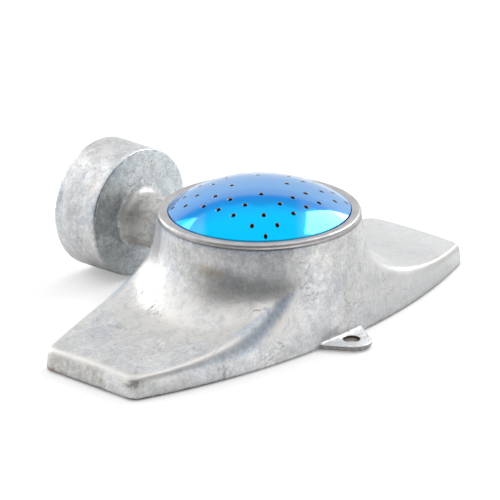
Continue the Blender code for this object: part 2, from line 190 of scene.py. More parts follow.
# Colours: red, green, blue and one
# RIDGE_TINT makes a bluish band along the left wing's ridge, and also paints the shade under that
# wing's edge
RIDGE_TINT = (0.79, 0.86, 0.945, 1.0)
# FACE_BLUE_REFLECTION is a painted blue reflection of the dome on the drum's face
FACE_BLUE_REFLECTION = (0.910, 0.958, 0.978, 1.0)
RIM_BROWN = (0.525, 0.510, 0.515, 1.0)
RIM_GREY = (0.62, 0.605, 0.60, 1.0)
DOME_BRIGHT = (0.0, 0.555, 1.0, 1.0)
# DOME_SHEEN_DEEP and DOME_SHEEN_PALE are painted sheen, which the dome takes on by the viewing
# angle
DOME_SHEEN_DEEP = (0.0, 0.300, 0.92, 1.0)
DOME_SHEEN_PALE = (0.04, 0.42, 1.0, 1.0)
BARE_DARK = (0.30, 0.25, 0.22, 1.0)
BARE_LIGHT = (0.62, 0.56, 0.52, 1.0)
RUBBER_BLACK = (0.022, 0.022, 0.023, 1.0)
RUBBER_DUST = (0.050, 0.048, 0.046, 1.0)
FLOOR_WHITE = (0.85, 0.85, 0.85, 1.0)
WHITE = (1.0, 1.0, 1.0, 1.0)

# Factors for the lengths along X, Y and Z, before a distance or a noise is worked out
ON_PLAN = (1.0, 1.0, 0.0)
ON_FRONT = (1.0, 0.0, 1.0)
SPOT_SHAPE = (1.0, 1.0, 2.2)

# Single spots: place, radius and tint. The first two are brown stains, the third and fourth are
# painted shade on the left tip's front corner, and the last is rust. A spot's full core is this
# many times smaller.
STAINS_AND_SHADE_SPOTS = (
    ((-0.0252, -0.0050, 0.0209), 0.0042, (0.84, 0.76, 0.64, 1.0)),
    ((-0.0252, -0.0085, 0.0207), 0.0036, (0.84, 0.77, 0.67, 1.0)),
    # painted shade on the left tip's front corner
    ((-0.0602, -0.0150, 0.0040), 0.0034, (0.48, 0.47, 0.49, 1.0)),
    ((-0.0610, -0.0130, 0.0036), 0.0022, (0.50, 0.48, 0.48, 1.0)),
    ((-0.0614, 0.0130, 0.0006), 0.0030, (0.72, 0.42, 0.36, 1.0)),
)
SPOT_CORE = 5

# Noise by name: cells in a metre, detail, roughness, distortion and factors for the lengths
CASTING_NOISES = {
    "broad": (62.0, 3.0, 0.55, 0.5),
    "tide": (95.0, 4.0, 0.5, 1.6),
    "flow_area": (110.0, 2.0, 0.5),
    "cloud": (165.0, 6.0, 0.62, 1.1),
    "patch": (330.0, 6.0, 0.62, 0.7),
    "mottle": (1150.0, 4.0, 0.65),
    "grain": (2400.0, 2.0, 0.7),
    "streak": (750.0, 3.0, 0.6, 0.0, (1.0, 1.0, 0.12)),
    "flow": (190.0, 5.0, 0.55, 1.2, (0.5, 1.0, 1.0)),
}
RIM_NOISES = {"patch": (300.0, 4.0, 0.6), "grain": (3000.0, 3.0, 0.7)}
DOME_NOISES = {"haze": (700.0, 4.0, 0.7)}
BARE_NOISE = (3000.0, 2.0)
DUST_NOISE = (900.0, 4.0, 0.6)

# Masks by name. A mask multiplies smooth steps. Each step names what it reads, then come
# the reading where it starts and ends, and its two values if they aren't 0 and 1.
CASTING_MASKS = {
    "warm": (("broad", 0.42, 0.58),),
    "cloudy": (("cloud", 0.45, 0.55),),
    "tides": (("tide", 0.488, 0.512, 0.94, 1.022),),
    "tall": (("height", 0.0085, 0.0150, 0.55, 1.0),),
    "flakes": (("patch", 0.44, 0.56, 0.94, 1.035),),
    "mottled": (("mottle", 0.40, 0.60, 0.925, 1.05),),
    "grainy": (("grain", 0.30, 0.70, 0.90, 1.09),),
    "streaky": (("streak", 0.35, 0.65, 0.955, 1.035),),
    "calm": (("along", -0.0040, 0.0300, 0.0, 0.62),),
    # cream patches on the left wing's fillet: a cream stain colour, and lighter there as painted
    # light
    "cream": (("reach", 0.0265, 0.0300), ("reach", 0.0440, 0.0370),
              ("patch", 0.42, 0.58, 0.25, 1.0), ("height", 0.0055, 0.0075),
              ("along", 0.0100, -0.0100, 0.2, 1.0)),
    "crease": (("off_flow", 0.010, 0.002), ("flow_area", 0.50, 0.58)),
    "ridge": (("outward", 0.0350, 0.0290), ("bend", 10.0, 30.0), ("height", 0.0040, 0.0060),
              ("height", 0.0225, 0.0185), ("back", 0.0340, 0.0300),
              ("along", 0.0050, -0.0050)),
    "worn": (("worn_bend", 28.0, 110.0, 0.0, 0.80), ("height", 0.0016, 0.0030),
             ("reach", 0.0262, 0.0270), ("back", 0.0390, 0.0370),
             ("outward", 0.0350, 0.0290, 1.0, 0.0)),
    "left": (("along", 0.0100, -0.0100),),
    # painted shade: a bluish dark line where the left wing's edge round turns down to its side
    "painted_edge_shade": (("bend", 12.0, 35.0), ("upward", 0.62, 0.45), ("upward", 0.02, 0.14),
                   ("along", -0.0050, -0.0150), ("outward", 0.0560, 0.0500),
                   ("height", 0.0040, 0.0055), ("mottle", 0.40, 0.60, 1.0, 0.35)),
    "broken": (("mottle", 0.40, 0.60, 0.2, 1.0),),
    # painted shadow: the wall darker just under the rolled rim
    "painted_rim_shadow": (("height", 0.0266, 0.0272), ("reach", 0.0278, 0.0272)),
    # darker in concave creases low down
    "corner": (("bend", -35.0, -100.0), ("height", 0.0050, 0.0035)),
    # painted shade from ambient occlusion in crevices and recesses
    "open": (("open_sky", 0.25, 0.85, 0.78, 1.0),),
    # painted light: the lug, out in front of the wing's side, a little lighter
    "painted_lug_light": (("back", -0.0272, -0.0282, 1.0, 1.12),),
    "tip": (("outward", 0.0608, 0.0614), ("patch", 0.42, 0.56, 1.0, 0.3),
            ("back", -0.0055, -0.0047, 0.1, 1.0)),
    # painted light: the tip faces lighter towards the front
    "painted_tip_light": (("outward", 0.0604, 0.0612), ("back", -0.0045, -0.0065)),
    # painted light: the right wing's end lighter
    "painted_end_light": (("along", 0.0440, 0.0580, 1.0, 1.12),),
    "drum": (("back", 0.0427, 0.0435),),
    # painted light and shade: the drum's side lighter on the left and darker towards the right
    "painted_drum_light": (("along", -0.0150, -0.0020, 1.05, 0.96),),
    "neck": (("back", 0.0275, 0.0300), ("back", 0.0418, 0.0411)),
    "neck_stain": (("back", 0.0275, 0.0300), ("back", 0.0418, 0.0411), ("patch", 0.56, 0.44)),
    "face": (("back", 0.0411, 0.0418), ("back", 0.0427, 0.0421)),
    # painted light and shade on the drum's face: darker low down, on the left and round the neck,
    # lighter towards the upper right; the mottle and patches are its own tone
    "painted_face_light_and_mottle": (("along", -0.0130, 0.0060, 0.88, 1.20),
                   ("height", 0.0040, 0.0260, 0.86, 1.08),
                   ("from_neck", 0.0130, 0.0085, 1.0, 0.90),
                   ("mottle", 0.40, 0.60, 0.95, 1.05), ("patch", 0.42, 0.58, 0.94, 1.05)),
    # a dark line along the foot: partly dirt, partly painted contact shadow
    "foot": (("foot_height", 0.0002, -0.0004), ("back", -0.0300, -0.0280, 0.3, 1.0)),
    # painted shade: the lower part of the lug's front side dark
    "painted_lug_side_shade": (("height", 0.0018, 0.0012), ("back", -0.0266, -0.0272),
                 ("along", 0.0030, 0.0005), ("mottle", 0.35, 0.6, 0.70, 0.95)),
    "hole_top": (("height", 0.0009, 0.0015),),
    # the lug's hole: partly dirt and partly painted shade in the hole
    "lug_hole": (("from_hole", 0.00235, 0.00205),),
    "roughness": (("patch", 0.38, 0.62, 0.42, 0.33),),
}
RIM_MASKS = {
    "grey": (("patch", 0.35, 0.65),),
    "speck": (("grain", 0.30, 0.70, 0.90, 1.06),),
    "roughness": (("patch", 0.30, 0.70, 0.44, 0.34),),
}
DOME_MASKS = {
    # painted sheen: the blue deeper and then paler by the viewing angle
    "sheen_deep": (("facing", 0.30, 0.50),),
    "sheen_pale": (("facing", 0.50, 0.62),),
    "veil": (("facing", 0.475, 0.53, 0.03, 1.0), ("across", -0.0080, -0.0170, 1.0, 0.80)),
    "right_coat": (("across", 0.0080, 0.0115, 0.0, 0.52),),
    "left_coat": (("across", -0.0125, -0.0150, 0.0, 0.55), ("facing", 0.45, 0.42)),
    "coat_fade": (("facing", 0.58, 0.75, 1.0, 0.72),),
    "roughness": (("haze", 0.35, 0.75, 0.07, 0.13),),
}
RUBBER_MASKS = {
    "dusty": (("dust", 0.35, 0.75),),
    "roughness": (("dust", 0.3, 0.7, 0.62, 0.78),),
}

# The studio's masks read angles from the camera's heading. Some give a light or a rise.
STUDIO_MASKS = {
    "backdrop": (("off_axis", radians(21), radians(15)),),
    "front": (("off_front", radians(84), radians(102)),),
    "panel": (("bearing", radians(-104), radians(-98)),
              ("bearing", radians(-64), radians(-58), 1.0, 0.0)),
    "shoulder": (("bearing", radians(128), radians(155), SHOULDER_LIGHT, FRONT_LIGHT),),
    "front_most": (("bearing", radians(-10), radians(10), FRONT_LIGHT, 1.0),),
    "ceiling": (("bearing", radians(-32), radians(-12), sin(radians(43)), sin(radians(49))),),
    "arch": (("off_arch", radians(12), 0.0, 0.0, 0.066),),
    "front_rise": (("off_front", radians(102), radians(122), 0.0, 0.07),),
}

# Colours on the casting that go from one to the other as a mask says
CASTING_COLOURS = {
    "zinc": ("warm", (0.756, 0.773, 0.790, 1.0), (0.788, 0.786, 0.780, 1.0)),
    "clouds": ("cloudy", (0.918, 0.928, 0.940, 1.0), (1.035, 1.035, 1.030, 1.0)),
    # worn edges: near the zinc's own tone on the left and darker on the right, a painted shade
    # that tones down the right edges' highlights
    "wear_and_painted_shade": ("left", (0.60, 0.59, 0.57, 1.0), (0.77, 0.757, 0.73, 1.0)),
    # the lug's hole: dark brown at its top and nearly black deeper, partly dirt and partly painted
    # shade
    "hole": ("hole_top", (0.36, 0.31, 0.28, 1.0), (0.060, 0.046, 0.040, 1.0)),
}

# Layers on the zinc, from first to last: a mask, the way and what is laid on, which can be a
# mask or a colour by name. Paint covers what lies under it, a tint or a shade is multiplied
# with it, and so is a light, which is the mask itself.
FIRST_LAYERS = (
    ("tides", "light", None),
    ("tall", "tint", "clouds"),
    ("tall", "tint", "flakes"),
    ("mottled", "light", None),
    ("grainy", "light", None),
    ("streaky", "light", None),
    ("calm", "paint", (0.745, 0.756, 0.768, 1.0)),
    # cream stain colour and painted light on the left fillet
    ("cream", "paint", (0.812, 0.795, 0.765, 1.0)),
    ("crease", "shade", 0.76),
    ("ridge", "tint", RIDGE_TINT),
    # worn edges, with painted shade on the right
    ("worn", "paint", "wear_and_painted_shade"),
    # painted shade under the left wing's edge
    ("painted_edge_shade", "tint", RIDGE_TINT),
)
END_LAYERS = (
    # painted shadow just under the rolled rim
    ("painted_rim_shadow", "shade", 0.45),
    ("corner", "shade", 0.86),
    # painted shade from ambient occlusion
    ("open", "light", None),
    # painted light on the lug
    ("painted_lug_light", "light", None),
    ("tip", "tint", (0.86, 0.84, 0.80, 1.0)),
    # painted light on the front of the tip faces
    ("painted_tip_light", "shade", 1.20),
    # painted light on the right wing's end
    ("painted_end_light", "light", None),
    # painted light and shade on the drum's side
    ("drum", "shade", "painted_drum_light"),
    ("neck_stain", "tint", (0.90, 0.875, 0.84, 1.0)),
    # painted reflection, and painted light and shade, on the drum's face
    ("face", "tint", "painted_face_tint"),
    # dark foot line: partly dirt, partly painted contact shadow
    ("foot", "paint", (0.26, 0.25, 0.245, 1.0)),
    # painted shade on the lug's side
    ("painted_lug_side_shade", "paint", (0.22, 0.20, 0.20, 1.0)),
    # the lug's hole: dirt and painted shade
    ("lug_hole", "paint", "hole"),
)

# Other numbers of the materials: roughness, unevenness, shares of a mix, heights of a bump
WORN_ROUGHNESS = {"worn": 0.46, "neck": 0.56, "face": 0.27}
WEAR_BREAK = (70.0, -35.0)
FOOT_BREAK = -0.0014
# Ambient occlusion that paints shade into the casting's colour: its reach and samples, and the
# distances from the lug's root within which that painted shade is left out
SKY_REACH = 0.010
SKY_SAMPLES = 8
LUG_SKY = (0.0120, 0.0090)
MOTTLE_RELIEF = 0.4
GRAIN_RELIEF = 0.3
RIM_RELIEF = 0.5
CASTING_BUMP = 0.00006
RIM_BUMP = 0.00003
RUBBER_BUMP = 0.00004
DOME_ACROSS = (0.68, -0.73, 0.0)

# Fineness and softness of the meshes
TURN_STEPS = 160
SIDE_SPOKES = 44
TIP_SPOKES = 8
CORNER_SPOKES = 8
ARC_STEPS = 12
LAND_STEPS = 8
POCKET_STEPS = 24
VOXEL = 0.00042
SMOOTH_SHARE = 0.5
SMOOTH_STEPS = 6
DRUM_START = 0.0410
CRISP_SHARE = 0.3
FLANK_STEPS = 50
BEND_STEPS = 10
FLANK_LOW = 0.0030
FLANK_BLEND = 0.0020
FLANK_REACH = 0.026
FLANK_FADE = 0.014
DOME_STEPS = 56
MIRROR_STEPS = 256
HOLE_STEPS = 20
LUG_HOLE_STEPS = 48
THREAD_STEPS = 72
THREAD_RUN_OUT = 18
LUG_EDGE_STEPS = 5
OVERSHOOT = 0.0010
WELD_DISTANCE = 0.00001
SHARP_EDGE = radians(50)
DOME_SHARP = radians(30)

# Sizes that follow
RECESS_RADIUS = SIGHT_RADIUS + LIP_OVERHANG
TURRET_RADIUS = RECESS_RADIUS + RIM_WALL
CHAMBER_RADIUS = RECESS_RADIUS - SEAT_WIDTH
LIP_UNDERSIDE = LIP_TOP - LIP_THICKNESS
WALL_TOP = LIP_UNDERSIDE - LIP_PROUD
FLANGE_RADIUS = RECESS_RADIUS - SEAT_GAP
FLANGE_TOP = LIP_UNDERSIDE - SEAT_GAP
WING_HALF_WIDTH = TURRET_RADIUS + SIDE_LEDGE
SIDE_DROP = WING_HALF_WIDTH - TIP_HALF_WIDTH
SIDE_ARC_RADIUS = (WING_LENGTH ** 2 + SIDE_DROP ** 2) / (2 * SIDE_DROP)
SIDE_ARC_CENTRE = WING_HALF_WIDTH - SIDE_ARC_RADIUS
COUPLING_AXIS = COUPLING_RADIUS + COUPLING_DRAFT + COUPLING_LIFT
COUPLING_FACE = TURRET_RADIUS + NECK_LENGTH
COUPLING_MOUTH = COUPLING_FACE + COUPLING_LENGTH
SOCKET_FLOOR = COUPLING_MOUTH - SOCKET_DEPTH
NECK_AXIS = COUPLING_AXIS - NECK_DROP
LUG_CENTRE = WING_HALF_WIDTH + LUG_REACH
LUG_HOLE_CENTRE = WING_HALF_WIDTH + LUG_HOLE_OUT


def add_object(name, data, material=None):
    """Puts a mesh, a lamp or a camera in the scene as a named object."""
    thing = bpy.data.objects.new(name, data)
    bpy.context.scene.collection.objects.link(thing)
    if material:
        data.materials.append(material)
    return thing


def mesh_of(name, points, faces):
    """Makes a mesh from points and faces, with its faces turned outwards."""
    shape = bmesh.new()
    verts = [shape.verts.new(point) for point in points]
    for face in faces:
        shape.faces.new([verts[i] for i in face])
    bmesh.ops.recalc_face_normals(shape, faces=shape.faces)
    mesh = bpy.data.meshes.new(name)
    shape.to_mesh(mesh)
    shape.free()
    return mesh


def arc(centre, radius, start, end, steps):
    """Lists points on an arc in a plane, both ends included."""
    angles = [start + (end - start) * i / steps for i in range(steps + 1)]
    return [(centre[0] + radius * cos(a), centre[1] + radius * sin(a)) for a in angles]


def even_steps(start, end, steps):
    """Lists the places between two values, both ends left out."""
    return [start + (end - start) * i / steps for i in range(1, steps)]


def turned_mesh(name, profile, closed=False, steps=TURN_STEPS, shift=0.0):
    """Turns a profile of (radius, height) points about Z.

    An open profile starts and ends on the axis, and a closed one is a ring's section. The
    shift turns it by a part of a step, so that it never shares a point with another mesh.
    """
    points = []
    rows = []
    for radius, height in profile:
        if radius == 0.0:
            rows.append([len(points)] * steps)
            points.append((0.0, 0.0, height))
            continue
        rows.append(list(range(len(points), len(points) + steps)))
        for i in range(steps):
            angle = 2 * pi * (i + shift) / steps
            points.append((radius * cos(angle), radius * sin(angle), height))
    if closed:
        rows.append(rows[0])
    faces = []
    for upper, lower in zip(rows, rows[1:]):
        for i in range(steps):
            j = (i + 1) % steps
            faces.append(list(dict.fromkeys((upper[i], lower[i], lower[j], upper[j]))))
    return mesh_of(name, points, faces)


def loft_mesh(name, rings):
    """Skins closed rings of equal count, one after the other, and caps both ends."""
    count = len(rings[0])
    points = [point for ring in rings for point in ring]
    faces = []
    for row in range(len(rings) - 1):
        for i in range(count):
            j = (i + 1) % count
            upper = row * count
            lower = upper + count
            faces.append((upper + i, lower + i, lower + j, upper + j))
    faces.append(tuple(range(count)))
    faces.append(tuple(range(len(points) - 1, len(points) - 1 - count, -1)))
    return mesh_of(name, points, faces)


def along_y(mesh, height):
    """Lays a turned mesh down at this height, so that its upper end points along +Y."""
    mesh.transform(Matrix.Translation((0.0, 0.0, height)) @ Matrix.Rotation(-pi / 2, 4, "X"))
    return mesh


def apply_modifiers(thing):
    """Replaces an object's mesh by the mesh that its modifiers make."""
    graph = bpy.context.evaluated_depsgraph_get()
    mesh = bpy.data.meshes.new_from_object(thing.evaluated_get(graph))
    thing.modifiers.clear()
    thing.data = mesh


def combine(target, mesh, operation):
    """Joins a mesh to the target, or cuts it away, and applies that."""
    tool = add_object("tool", mesh)
    boolean = target.modifiers.new("boolean", "BOOLEAN")
    boolean.operation = operation
    boolean.solver = "EXACT"
    boolean.object = tool
    apply_modifiers(target)
    bpy.data.objects.remove(tool, do_unlink=True)


def soft_least(first, second):
    """The smaller of two lengths, with a smooth change from one to the other."""
    return (first ** SOFT_POWER + second ** SOFT_POWER) ** (1 / SOFT_POWER)


def half_width(x):
    """Half the width of the base at x."""
    return SIDE_ARC_CENTRE + sqrt(SIDE_ARC_RADIUS ** 2 - x ** 2)


def base_outline():
    """Outline of the base, anticlockwise: one quarter, mirrored three times."""
    corner_x = WING_LENGTH - TIP_CORNER
    corner_y = SIDE_ARC_CENTRE + sqrt((SIDE_ARC_RADIUS - TIP_CORNER) ** 2 - corner_x ** 2)
    corner_end = atan2(corner_y - SIDE_ARC_CENTRE, corner_x)
    quarter = [(WING_LENGTH, corner_y * i / TIP_SPOKES) for i in range(TIP_SPOKES)]
    quarter += arc((corner_x, corner_y), TIP_CORNER, 0.0, corner_end, CORNER_SPOKES)
    first = atan2(quarter[-1][1], quarter[-1][0])
    for angle in even_steps(first, pi / 2, SIDE_SPOKES) + [pi / 2]:
        along = SIDE_ARC_CENTRE * sin(angle)
        reach = along + sqrt(along ** 2 + SIDE_ARC_RADIUS ** 2 - SIDE_ARC_CENTRE ** 2)
        quarter.append((reach * cos(angle), reach * sin(angle)))
    half = quarter + [(-x, y) for x, y in reversed(quarter[:-1])]
    return half + [(x, -y) for x, y in reversed(half[1:-1])]


def wing_height(x):
    """Height of a wing's edge: low at the tip and swept up to the turret."""
    return TIP_HEIGHT + SWEEP_HEIGHT * exp(-(abs(x) / SWEEP_REACH) ** SWEEP_POWER)


def wing_top(x, y):
    """Height of a wing's top, which is slightly crowned between its edges."""
    return wing_height(x) + TOP_CROWN * (1 - (y / half_width(x)) ** 2)


def edge_round(x):
    """Radius of the edge above the side wall: small at the tip and full at the turret."""
    share = exp(-abs(x / EDGE_ROUND_REACH) ** EDGE_ROUND_POWER)
    return TIP_EDGE_ROUND + (ROOT_EDGE_ROUND - TIP_EDGE_ROUND) * share


def side_fade(x):
    """How far the side at x has become one straight wall from the turret's top to the ground."""
    return FADE_MOST * exp(-abs(x / SIDE_FADE) ** FADE_POWER)


def spoke_section(x, y):
    """Section of the casting from the turret's top out to the outline point and down."""
    reach = hypot(x, y)
    rise = wing_height(x)
    round_height = edge_round(x)
    edge = reach - SIDE_INSET - SIDE_DRAFT * (rise - round_height)
    foot = TURRET_RADIUS + TURRET_FLARE
    room = edge - foot
    round_width = soft_least(round_height, ROUND_SHARE * room)
    fillet_width = soft_least(TURRET_FILLET, FILLET_SHARE * room)

    def top_at(distance):
        """Height of the wing's top along this spoke."""
        return wing_top(distance * x / reach, distance * y / reach)

    fillet_height = soft_least(FILLET_TALL * fillet_width, WALL_TOP - top_at(foot))
    steps = [i * pi / 2 / ARC_STEPS for i in range(ARC_STEPS + 1)]
    fillet_end = foot + fillet_width
    round_start = edge - round_width

    flank = []
    for angle in steps:
        distance = fillet_end - fillet_width * cos(angle)
        lift = fillet_height * (1 - sin(angle))
        flank.append((distance, top_at(distance) + lift))
    for distance in even_steps(fillet_end, round_start, LAND_STEPS):
        flank.append((distance, top_at(distance)))
    for angle in steps:
        distance = round_start + round_width * sin(angle)
        drop = round_height * (1 - cos(angle))
        flank.append((distance, top_at(distance) - drop))
    fade = side_fade(x)
    blended = []
    for distance, height in flank:
        straight = reach + (TURRET_RADIUS - reach) * height / WALL_TOP
        blended.append((distance + fade * (straight - distance), height))
    last, top = blended[-1]
    middle = (reach + (last - reach) * WALL_BAND, top * WALL_BAND)
    hidden = (TURRET_RADIUS - RIM_PROUD, LIP_UNDERSIDE)
    foot_edge = [(reach - FOOT_LIFT * SIDE_DRAFT, FOOT_LIFT), (reach - FOOT_INSET, 0.0)]
    return [hidden, (TURRET_RADIUS, WALL_TOP)] + blended + [middle] + foot_edge


def outer_casting():
    """The outside of turret and wings, lofted along spokes."""
    spokes = []
    for x, y in base_outline():
        reach = hypot(x, y)
        spokes.append([(r * x / reach, r * y / reach, z) for r, z in spoke_section(x, y)])
    return loft_mesh("cast_skin", [list(ring) for ring in zip(*spokes)])


def plug(name, top, bottom, radius, low_radius=None, **settings):
    """A round plug about Z from one height down to another, straight or tapered."""
    profile = [(0.0, top), (radius, top), (low_radius or radius, bottom), (0.0, bottom)]
    return turned_mesh(name, profile, **settings)


def coupling_mesh():
    """The outside of the hose coupling."""
    mouth_radius = COUPLING_RADIUS + COUPLING_DRAFT
    mesh = plug("coupling", COUPLING_MOUTH, COUPLING_FACE, mouth_radius, COUPLING_RADIUS)
    return along_y(mesh, COUPLING_AXIS)


def neck_mesh():
    """The neck between turret and coupling, flared at both ends."""
    flare = NECK_RADIUS + NECK_FILLET
    face_flare = NECK_RADIUS + FACE_FILLET
    start = COUPLING_FACE - FACE_FILLET
    end = TURRET_RADIUS + NECK_FILLET
    profile = [(0.0, COUPLING_FACE + OVERSHOOT), (face_flare, COUPLING_FACE + OVERSHOOT)]
    profile += arc((face_flare, start), FACE_FILLET, pi / 2 + FLARE_TRIM, pi, ARC_STEPS)
    profile += arc((flare, end), NECK_FILLET, pi, 3 * pi / 2 - FLARE_TRIM, ARC_STEPS)
    inside = CHAMBER_RADIUS - OVERSHOOT
    profile += [(flare, inside), (0.0, inside)]
    return along_y(turned_mesh("neck", profile, shift=0.25), NECK_AXIS)


def lug_plan(inset):
    """Plan of the stake lug, a round tip on a wide root, drawn in by an inset."""
    root_y = WING_HALF_WIDTH - LUG_ROOT_SINK
    root_half = LUG_ROOT_HALF - inset
    tip_radius = LUG_TIP_RADIUS - inset
    distance = hypot(root_half, LUG_CENTRE - root_y)
    to_root = atan2(LUG_CENTRE - root_y, root_half)
    touch = to_root - acos(tip_radius / distance)
    tip = arc((0.0, -LUG_CENTRE), tip_radius, pi - touch, 2 * pi + touch, 3 * ARC_STEPS)
    sunk = LUG_ROOT_SINK + SIDE_LEDGE
    ends = [(root_half, -root_y), (root_half, -root_y + sunk)]
    return tip + ends + [(-x, y) for x, y in reversed(ends)]


def lug_mesh():
    """The stake lug, a flat plate with a rounded upper edge, just above the ground."""
    levels = []
    for i in range(LUG_EDGE_STEPS + 1):
        angle = pi / 2 * i / LUG_EDGE_STEPS
        inset = LUG_EDGE * (1 - sin(angle))
        levels.append((inset, LUG_THICKNESS - LUG_EDGE * (1 - cos(angle))))
    levels.append((LUG_EDGE / 2, LUG_LIFT))
    return loft_mesh("lug", [[(x, y, z) for x, y in lug_plan(inset)] for inset, z in levels])


def chamber_mesh():
    """The water chamber and the recess for the dome's flange, as a cutter."""
    corner = (CHAMBER_RADIUS - CHAMBER_FILLET, CHAMBER_FLOOR + CHAMBER_FILLET)
    profile = [(0.0, LIP_TOP), (RECESS_RADIUS, LIP_TOP)]
    profile += [(RECESS_RADIUS, SEAT_HEIGHT), (CHAMBER_RADIUS, SEAT_HEIGHT)]
    profile += arc(corner, CHAMBER_FILLET, 0.0, -pi / 2, ARC_STEPS)
    profile += [(0.0, CHAMBER_FLOOR)]
    return turned_mesh("chamber", profile, shift=0.5)


def pocket_mesh(side):
    """The hollow under one wing, as a cutter that still holds the chamber's wall."""
    end = WING_LENGTH - WING_WALL
    places = [POCKET_START] + even_steps(POCKET_START, end - TIP_CORNER, POCKET_STEPS)
    places += [end - TIP_CORNER, end]
    rings = []
    for x in places:
        half = half_width(x) - WING_WALL
        if x == end:
            half -= TIP_CORNER / 2
        roof = min(wing_height(x) - WING_WALL, POCKET_TOP)
        lean = side_fade(x) * (hypot(x, half) - TURRET_RADIUS) * roof / WALL_TOP
        corner = (half - lean - POCKET_CORNER, roof - POCKET_CORNER)
        right = [(half, -OVERSHOOT)] + arc(corner, POCKET_CORNER, 0.0, pi / 2, ARC_STEPS // 2)
        outline = right + [(-y, z) for y, z in reversed(right)]
        rings.append([(side * x, y, z) for y, z in outline])
    return loft_mesh("pocket", rings)


def core_mesh():
    """A plug the size of the chamber's outer wall, which the hollows stay clear of."""
    return plug("core", LIP_TOP, -2 * OVERSHOOT, CHAMBER_RADIUS + WING_WALL)


def socket_mesh():
    """The coupling's round socket, as a cutter with a chamfer at its mouth."""
    top = COUPLING_MOUTH + OVERSHOOT
    profile = [(0.0, top), (SOCKET_RADIUS + SOCKET_CHAMFER + OVERSHOOT, top)]
    profile += [(SOCKET_RADIUS, COUPLING_MOUTH - SOCKET_CHAMFER)]
    profile += [(SOCKET_RADIUS, SOCKET_FLOOR), (0.0, SOCKET_FLOOR)]
    return along_y(turned_mesh("socket", profile, shift=0.5), COUPLING_AXIS)


def bore_mesh():
    """The water way through the neck, as a cutter."""
    start = SOCKET_FLOOR + OVERSHOOT
    end = CHAMBER_RADIUS - 2 * OVERSHOOT
    return along_y(plug("bore", start, end, NECK_BORE_RADIUS, shift=0.25), NECK_AXIS)


def lug_hole_mesh():
    """The lug's hole, as a cutter."""
    top = LUG_THICKNESS + OVERSHOOT
    mesh = plug("lug_hole", top, -OVERSHOOT, LUG_HOLE_RADIUS, steps=LUG_HOLE_STEPS)
    mesh.transform(Matrix.Translation((0.0, -LUG_HOLE_CENTRE, 0.0)))
    return mesh


def thread_mesh():
    """The hose thread: a ridge that winds along the wall of the socket."""
    start = COUPLING_MOUTH - SOCKET_CHAMFER - THREAD_PITCH / 2
    depth = SOCKET_RADIUS - THREAD_CREST
    root = SOCKET_RADIUS + THREAD_SINK
    foot = THREAD_PITCH * THREAD_FOOT
    tip = THREAD_PITCH * THREAD_TIP
    steps = round(THREAD_TURNS * THREAD_STEPS)
    rings = []
    for i in range(steps + 1):
        angle = 2 * pi * i / THREAD_STEPS
        height = start - THREAD_PITCH * i / THREAD_STEPS
        crest = SOCKET_RADIUS - depth * min(1.0, i / THREAD_RUN_OUT, (steps - i) / THREAD_RUN_OUT)
        section = [(root, height + foot), (crest, height + tip), (crest, height - tip),
                   (root, height - foot)]
        rings.append([(r * cos(angle), r * sin(angle), z) for r, z in section])
    return along_y(loft_mesh("thread", rings), COUPLING_AXIS)


def add_node(tree, kind, inputs=(), **settings):
    """Adds a shader node. Its inputs are values, or other nodes' outputs to link to."""
    node = tree.nodes.new("ShaderNode" + kind)
    for name, value in settings.items():
        setattr(node, name, value)
    for name, value in dict(inputs).items():
        if isinstance(value, bpy.types.NodeSocket):
            tree.links.new(value, node.inputs[name])
        else:
            node.inputs[name].default_value = value
    return node


def math_node(tree, operation, first, second=0.0, third=0.0):
    """Adds a node that works out one number."""
    inputs = {0: first, 1: second, 2: third}
    return add_node(tree, "Math", inputs, operation=operation).outputs[0]


def smooth_step(tree, value, start, end, low=0.0, high=1.0):
    """Adds a node that goes smoothly from low to high while value goes from start to end."""
    inputs = {"Value": value, "From Min": start, "From Max": end, "To Min": low, "To Max": high}
    return add_node(tree, "MapRange", inputs, interpolation_type="SMOOTHSTEP").outputs[0]


def mix_numbers(tree, share, first, second):
    """Adds a node that mixes two numbers, which are its inputs 2 and 3."""
    inputs = {0: share, 2: first, 3: second}
    return add_node(tree, "Mix", inputs, data_type="FLOAT").outputs[0]


def mix_colours(tree, share, first, second, blend="MIX"):
    """Adds a node that mixes two colours, which are its inputs 6 and 7."""
    inputs = {0: share, 6: first, 7: second}
    node = add_node(tree, "Mix", inputs, data_type="RGBA", blend_type=blend)
    return node.outputs[2]


def noise_node(tree, place, scale, detail=3.0, roughness=0.5, distortion=0.0, factors=None):
    """Adds fractal noise over a place, with this many cells in a metre."""
    if factors:
        place = scaled(tree, place, factors)
    inputs = {"Vector": place, "Scale": scale, "Detail": detail, "Roughness": roughness,
              "Distortion": distortion}
    return add_node(tree, "TexNoise", inputs).outputs[0]


def product(tree, first, *others):
    """Adds nodes that multiply numbers one after the other."""
    for other in others:
        first = math_node(tree, "MULTIPLY", first, other)
    return first


def off_by(tree, value, middle):
    """Adds nodes that give how far a value is off a middle."""
    return math_node(tree, "ABSOLUTE", math_node(tree, "SUBTRACT", value, middle))


def scaled(tree, place, factors):
    """Adds a node that multiplies a place's three lengths by three factors."""
    inputs = {0: place, 1: factors}
    return add_node(tree, "VectorMath", inputs, operation="MULTIPLY").outputs["Vector"]


def vector_number(tree, operation, first, second=(0.0, 0.0, 0.0)):
    """Adds a node that works out one number from one or two vectors."""
    inputs = {0: first, 1: second}
    return add_node(tree, "VectorMath", inputs, operation=operation).outputs["Value"]


def distance_node(tree, place, spot, factors):
    """Adds nodes that give a place's distance from a spot, after scaling both."""
    centre = tuple(length * factor for length, factor in zip(spot, factors))
    return vector_number(tree, "DISTANCE", scaled(tree, place, factors), centre)


def tinted(tree, colour, amount):
    """Adds a node that multiplies a colour by a number or by another colour."""
    return mix_colours(tree, 1.0, colour, amount, "MULTIPLY")


